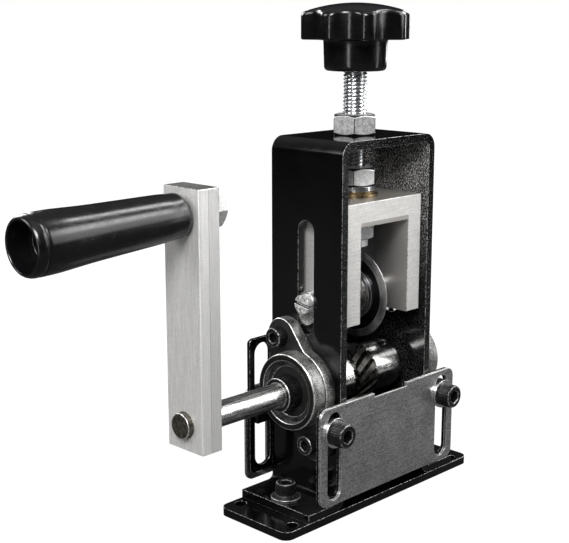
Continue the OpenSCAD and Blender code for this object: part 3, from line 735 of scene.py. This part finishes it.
def hex_nut(low, high):
    """M10 nut between two heights: both ends chamfered, a narrow band of painted highlight round each flat,
    and painted shade on each upright corner.
    """
    height = high - low
    bore = ROD_R + 0.05
    face = 7.7
    slope = 0.56

    def side(a):
        return NUT_AF / 2 / math.cos((a - NUT_TURN) % (math.pi / 3) - math.pi / 6)

    def drop(a):
        return (side(a) - face) * slope

    rows = [ring(bore, 0), ring(face - 0.25, 0), ring(face, 0.08)]
    rows.append(lambda a: (side(a) - 0.16, drop(a) - 0.02))
    rows.append(lambda a: (side(a), drop(a) + 0.22))
    rows.append(lambda a: (side(a), height - drop(a) - 0.22))
    rows.append(lambda a: (side(a) - 0.16, height - drop(a) + 0.02))
    rows += [ring(face, height - 0.08), ring(face - 0.25, height), ring(bore, height)]
    bm = polar_grid(rows, 180, (1, 3, 5, 7))
    # A narrow line at each upright corner takes the edge material too, as painted shade
    for f in bm.faces:
        c = f.calc_center_median()
        off = (math.atan2(c.y, c.x) - NUT_TURN + math.pi / 6) % (math.pi / 3) - math.pi / 6
        if abs(off) < math.radians(1.1) and math.hypot(c.x, c.y) > 0.56 * NUT_AF * MM:
            f.material_index = 1
    place(bm, (0, 0, low), (0, 0, 1))
    return bm


def sleeve(low, high):
    """The plain collar at the end of the lower clamping nut."""
    outside = [(6.0, 0), (6.15, 0.15), (6.15, high - low - 0.15), (6.0, high - low)]
    bore = ROD_R + 0.05
    bm = polar_grid([ring(bore, 0)] + [ring(r, h) for r, h in outside] + [ring(bore, high - low)], 96)
    place(bm, (0, 0, low), (0, 0, 1))
    return bm


def nuts():
    low, high = CLAMP_NUTS
    seat = low + SLEEVE_H
    clamp_parts = [hex_nut(high - CLAMP_NUT_H, high), hex_nut(seat, seat + CLAMP_NUT_H), sleeve(low, seat)]
    # The clamp nuts take the brighter zinc copy as painted light; the edge bands take a painted highlight,
    # with painted shade on the corners
    for node, parts, material in (
        ("top_nut", [hex_nut(*TOP_NUT)], "frosted_plating"),
        ("clamp_nuts", clamp_parts, "clear_plating"),
    ):
        stand_for(new_object(node + "_fine", joined(parts), material, "nut_edge", 20), node)


# Star knob


def lobed_radius(a):
    """Radius of the knob's outline at an angle from a crest: crest arcs joined by wide valley arcs."""
    step = TAU / LOBES
    crest_r = 4.5
    crest_c = KNOB_R - crest_r
    low = KNOB_R - LOBE_DEPTH
    along = crest_c * math.cos(step / 2)
    valley_r = (crest_c ** 2 + low ** 2 - 2 * along * low - crest_r ** 2) / (2 * (crest_r + along - low))
    valley_c = low + valley_r
    a = abs((a + step / 2) % step - step / 2)
    joint = (
        crest_c + (valley_c * math.cos(step / 2) - crest_c) * crest_r / (crest_r + valley_r),
        valley_c * math.sin(step / 2) * crest_r / (crest_r + valley_r),
    )
    if a <= math.atan2(joint[1], joint[0]):
        return crest_c * math.cos(a) + math.sqrt(crest_r ** 2 - (crest_c * math.sin(a)) ** 2)
    b = step / 2 - a
    return valley_c * math.cos(b) - math.sqrt(valley_r ** 2 - (valley_c * math.sin(b)) ** 2)


def star_knob():
    """Bored hub with rounded and tapered sides, a flat underside, and eight lobes under a domed top."""
    bottom = HUB_BOTTOM
    rim = bottom + KNOB_HUB_H
    hub_r = 12.75
    taper = 0.35
    rounding = 1.6
    dome_r = (KNOB_R ** 2 + DOME_RISE ** 2) / (2 * DOME_RISE)

    def outline(a):
        return lobed_radius(a - KNOB_TURN)

    def dome(r):
        return KNOB_TOP - dome_r + math.sqrt(dome_r ** 2 - r ** 2)

    bore = bottom + KNOB_BORE_H
    rows = [ring(0, bore), ring(5.03, bore), ring(5.03, bottom + 0.4), ring(5.4, bottom), ring(11.0, bottom)]
    for inset, h in ((1.25, 0.06), (0.85, 0.22), (0.5, 0.5), (0.2, 0.95), (0.0, rounding)):
        rows.append(ring(hub_r - inset, bottom + h))
    for k in range(1, 5):
        rows.append(ring(hub_r + taper * k / 4, bottom + rounding + 10.3 * k / 4))
    rows += [ring(13.25, rim - 0.25), ring(13.6, rim)]
    rows.append(lambda a: (outline(a) - 1.6, rim))
    for inset, up in ((0.7, 0.0), (0.35, 0.07), (0.1, 0.3), (0.0, 0.7)):
        rows.append(lambda a, i=inset, u=up: (outline(a) - i, rim + u))
    rows.append(lambda a: (outline(a), (rim + dome(outline(a))) / 2))
    for inset, drop in ((0.0, 1.5), (0.06, 1.0), (0.25, 0.55), (0.6, 0.2), (1.1, 0.02)):
        rows.append(lambda a, i=inset, d=drop: (outline(a) - i, dome(outline(a) - i) - d))
    for k in range(1, 12):

        def over(a, share=1 - k / 12):
            r = (outline(a) - 1.1) * share
            return r, dome(r)

        rows.append(over)
    rows.append(ring(0, KNOB_TOP))
    bm = polar_grid(rows, LOBES * 24)
    stand_for(new_object("star_knob_fine", bm, "black_plastic", sharp=50), "star_knob")


# Handle grip


def smooth_profile(points, steps):
    """Catmull-Rom curve through (radius, distance) points, in steps between each two."""
    out = []
    pts = [points[0]] + points + [points[-1]]
    for near in zip(pts, pts[1:], pts[2:], pts[3:]):
        for k in range(steps):
            t = k / steps
            t2, t3 = t ** 2, t ** 3
            shares = (2 * t2 - t - t3, 2 - 5 * t2 + 3 * t3, t + 4 * t2 - 3 * t3, t3 - t2)
            out.append(tuple(sum(s * v for s, v in zip(shares, values)) / 2 for values in zip(*near)))
    out.append(points[-1])
    return out


def handle_grip():
    """Turned grip, as (radius, distance) from the arm's outer face towards the free end."""
    near_end = [(4.08, 0.85), (7.0, 0.85), (7.6, 1.1), (8.1, 1.7)]
    side = smooth_profile(
        [(8.4, 3.0), (8.5, 6), (8.8, 10), (9.1, 18), (9.5, 30), (9.9, 41), (10.35, 49), (10.7, 55),
         (10.78, 59), (10.78, 62.6)], 4
    )
    groove = [(10.72, 62.85), (10.5, 63.1), (10.42, 63.45), (10.5, 63.8), (10.68, 64.05)]
    lip = [(10.72, 64.4), (10.62, 65.4), (10.3, 66.4), (9.9, 67.05), (9.5, 67.4), (9.15, 67.45),
           (8.9, 67.3), (8.75, 66.9)]
    recess = [(8.7, 66.2), (8.7, 59.2), (8.5, 58.6), (7.2, 58.45), (6.95, 58.2), (6.9, 57.6), (6.9, 45.3)]
    bore = [(4.08, 45.25)]
    bm = polar_grid([ring(r, h) for r, h in near_end + side + groove + lip + recess + bore], 96)
    outwards = Vector((-math.cos(HANDLE_DROOP), 0, -math.sin(HANDLE_DROOP)))
    place(bm, (-ARM_OUT, 0, HANDLE_Z), outwards)
    stand_for(new_object("handle_grip_fine", bm, "grip_plastic", sharp=50), "handle_grip")


# Bearing housings


def flange_radius(a):
    """Distance from the shaft to the flange's outline, a measured from +Y towards +Z."""
    bolt_r = math.hypot(*BOLT)
    a = (a - math.atan2(BOLT[1], BOLT[0])) % math.pi
    a = min(a, math.pi - a)
    flank = math.acos((FLANK_R - LOBE_R) / bolt_r)
    if a < math.atan2(LOBE_R * math.sin(flank), bolt_r + LOBE_R * math.cos(flank)):
        return bolt_r * math.cos(a) + math.sqrt(LOBE_R ** 2 - (bolt_r * math.sin(a)) ** 2)
    far, near = MID_R + FLANK_FILLET, FLANK_R + FLANK_FILLET
    reach_out = math.sqrt(far ** 2 - near ** 2)
    if a < flank - math.atan2(reach_out, FLANK_R):
        return FLANK_R / math.cos(flank - a)
    corner = flank - math.atan2(reach_out, near)
    if a < corner:
        return far * math.cos(corner - a) - math.sqrt(FLANK_FILLET ** 2 - (far * math.sin(corner - a)) ** 2)
    return MID_R


def bearing_housing(name, side):
    """Rhombic flange with rounded edges and a turned boss, bored for the bearing's outer ring."""
    boss_h = BOSS_END - WALL_OUT
    seat_r = 13.03
    back_edge = ((0.35, 0.0), (0.0, 0.35))
    front_edge = ((0.0, 4.75), (0.04, 4.98), (0.16, 5.17), (0.34, 5.28), (0.5, FLANGE_T))
    rows = [ring(8.5, 0.0)]
    for inset, up in back_edge + front_edge:
        rows.append(lambda a, i=inset, u=up: (flange_radius(a) - i, u))
    for share, up in ((0.6, 5.31), (0.96, 5.32), (1.0, 5.55)):
        rows.append(lambda a, f=share, u=up: (16.25 * f + (flange_radius(a) - 0.5) * (1 - f), u))
    for r, drop in ((15.98, 0.8), (15.93, 0.45), (15.75, 0.15), (15.45, 0.0), (13.45, 0.0), (13.15, 0.2)):
        rows.append(ring(r, boss_h - drop))
    rows += [ring(seat_r, boss_h - 0.5), ring(seat_r, 1.2), ring(8.5, 1.2)]
    # Painted highlight: the bands along the flange's edges and the boss's rims take the bright edge material
    bm = polar_grid(rows, 288, (1, 4, 5, 12, 13, 15))
    # local X to world Y, local Y to world Z, local Z to world X
    turn = Matrix(((0, 0, side, 0), (1, 0, 0, 0), (0, 1, 0, 0), (0, 0, 0, 1)))
    bm.transform(Matrix.Translation((side * WALL_OUT * MM, 0, SHAFT_Z * MM)) @ turn)
    bmesh.ops.recalc_face_normals(bm, faces=bm.faces)
    stand_for(new_object(name + "_fine", bm, "cast_housing", "bright_edge", 50), name)


# All pieces

screws()
adjusting_screw()
nuts()
star_knob()
handle_grip()
bearing_housing("left_bearing_housing", -1)
bearing_housing("right_bearing_housing", 1)

# CAD nodes with rounded edges: width, edge material, other material than the slot's, and from where along X.
# The edge materials paint a highlight along the rounded edges; the darker zinc for the foot washers and outer
# rings is painted shade.
ROUNDED = {
    "base_plate": (0.4, "worn_paint"),
    "frame_bracket": (0.3, "worn_paint"),
    "front_bracket": (0.25, "worn_paint"),
    "rear_bracket": (0.25, "worn_paint"),
    "front_guide_plate": (0.22, "bright_edge"),
    "rear_guide_plate": (0.22, "bright_edge"),
    "clamp_washer": (0.15,),
    "brass_washers": (0.12,),
    "foot_flat_washers": (0.18, "bright_edge", "dull_plating"),
    "foot_spring_washers": (0.12, "oxide_edge", "dull_plating"),
    "guide_washers": (0.15, "bright_edge"),
    "guide_nuts": (0.15,),
    "crank_arm": (0.35, "bright_edge"),
    "crank_shaft": (0.3, "bright_edge"),
    "blade_block": (0.25, "bright_edge"),
    "slot_guides": (0.3, "bright_edge"),
    "blade_axle": (0.3, "bright_edge", "axle_steel"),
    "handle_bolt": (0.15,),
    "handle_nut": (0.2, "oxide_edge", "side_plating"),
    "blade_disc": (0.06, "bright_edge"),
    "bearing_inner_rings": (0.3, "bright_edge", "black_oxide", COLLAR_END - 0.05),
    "bearing_outer_rings": (0.22, "bright_edge", "dull_plating"),
}
for node, finish in ROUNDED.items():
    refine(node, *finish)

for name, obj in frame["nodes"].items():
    if name in ROUNDED or obj.hide_render:
        continue
    for slot in obj.material_slots:
        slot.material = MATERIALS["wheel_steel" if name == "drive_wheel" else SLOT_OF[name]]


# Stage, lights and camera


def floor():
    """Plain floor that the camera sees as white; its glow is a little weaker near the machine, painted shade
    that lets the machine's shadow show.
    """
    half = 6
    corners = ((-half, -half), (half, -half), (half, half), (-half, half))
    bm = bmesh.new()
    bm.faces.new([bm.verts.new((x, y, 0)) for x, y in corners])
    mesh = bpy.data.meshes.new("floor")
    bm.to_mesh(mesh)
    bm.free()
    m = Material("floor", 0.0, 0.9, Specular_IOR_Level=0.1, Base_Color=rgba(0.06), Emission_Color=rgba(1.0))
    away = m.node("ShaderNodeVectorMath", operation="LENGTH")
    m.link(m.coords, away.inputs[0])
    # Painted shade: the glow is weaker within 0.15 m of the middle and full from 0.7 m
    glow = m.remap(away.outputs["Value"], 0.945, 1.0, 0.15, 0.7)
    path = m.node("ShaderNodeLightPath").outputs
    m.link(m.product(path["Is Camera Ray"], glow), m.shader.inputs["Emission Strength"])
    mesh.materials.append(m.material)
    obj = bpy.data.objects.new("floor", mesh)
    bpy.context.collection.objects.link(obj)


def world():
    """White to the camera; reflections see a studio that is dark at the horizon and paler overhead."""
    studio = bpy.data.worlds.new("studio")
    bpy.context.scene.world = studio
    studio.use_nodes = True
    w = Nodes(studio.node_tree)
    path = w.node("ShaderNodeLightPath").outputs
    direction = w.node("ShaderNodeTexCoord").outputs["Generated"]
    sky = w.remap(w.part(direction, "Z"), 0.008, 0.26, 0.25, 0.9)
    glossy = w.product(path["Is Glossy Ray"], sky)
    diffuse = w.product(path["Is Diffuse Ray"], 0.2)
    seen = w.math("MAXIMUM", path["Is Camera Ray"], path["Is Transmission Ray"])
    strength = w.math("MAXIMUM", w.math("MAXIMUM", glossy, diffuse), seen)
    background = w.tree.nodes["Background"]
    background.inputs["Color"].default_value = rgba(1.0)
    w.link(strength, background.inputs["Strength"])


def lamp(name, azimuth, elevation, distance, width, height, power, aim=(0, 0, 0.09)):
    """Area lamp in metres and watts, aimed at a point. The azimuth is the world angle of the direction
    it stands in, from +X towards +Y."""
    data = bpy.data.lights.new(name, "AREA")
    data.shape = "RECTANGLE"
    data.size = width
    data.size_y = height
    data.energy = power
    obj = bpy.data.objects.new(name, data)
    a, e = math.radians(azimuth), math.radians(elevation)
    direction = Vector((math.cos(a) * math.cos(e), math.sin(a) * math.cos(e), math.sin(e)))
    obj.location = Vector(aim) + direction * distance
    obj.rotation_euler = direction.to_track_quat("Z", "Y").to_euler()
    obj.visible_camera = False
    bpy.context.collection.objects.link(obj)


def camera():
    """The photo's camera, fitted to corners and centres of the machine."""
    position = Vector((-0.36459, -0.31948, 0.20355))
    azimuth, elevation, roll = math.radians(-45.0), math.radians(12.26), math.radians(-0.11)
    back = Vector((
        math.sin(azimuth) * math.cos(elevation), -math.cos(azimuth) * math.cos(elevation), math.sin(elevation)
    ))
    right = (-back).cross(Vector((0, 0, 1))).normalized()
    up = right.cross(-back)
    turned = math.cos(roll) * right + math.sin(roll) * up
    upward = -math.sin(roll) * right + math.cos(roll) * up
    data = bpy.data.cameras.new("camera")
    data.sensor_width = 36
    data.lens = 74.07
    data.shift_x = 0.01255
    data.shift_y = -0.00569
    data.clip_start = 0.01
    obj = bpy.data.objects.new("camera", data)
    obj.matrix_world = Matrix.Translation(position) @ Matrix((turned, upward, back)).transposed().to_4x4()
    bpy.context.collection.objects.link(obj)
    bpy.context.scene.camera = obj


floor()
world()

# Azimuth and elevation in degrees, distance, width and height, power, and the point aimed at
lamp("left_strip", 197, 0, 0.45, 0.03, 0.5, 0.6, (0, 0, 0.28))
lamp("right_strip", 309, 0, 0.45, 0.02, 0.5, 0.3, (0, 0, 0.28))
lamp("front_box", 216, 38, 0.9, 0.3, 0.3, 9.5, (-0.03, 0, 0.09))
lamp("left_box", 150, 32, 0.9, 0.35, 0.35, 3.4)
lamp("right_box", 311, 25, 0.9, 0.6, 0.6, 3.7)
lamp("key_box", 345, 59, 0.67, 0.12, 0.16, 1.0)
lamp("grip_box", 314, 33, 0.6, 0.16, 0.16, 0.7, (-0.13, 0, 0.13))
lamp("top_box", 250, 75, 1.0, 0.8, 0.8, 1)
lamp("rim_strip", 15, 20, 0.9, 0.12, 0.6, 2)
lamp("back_box", 85, 26, 0.9, 0.4, 0.35, 4)
lamp("far_box", 352, 35, 0.9, 0.4, 0.4, 4)
camera()

bpy.context.scene.view_settings.view_transform = "Standard"
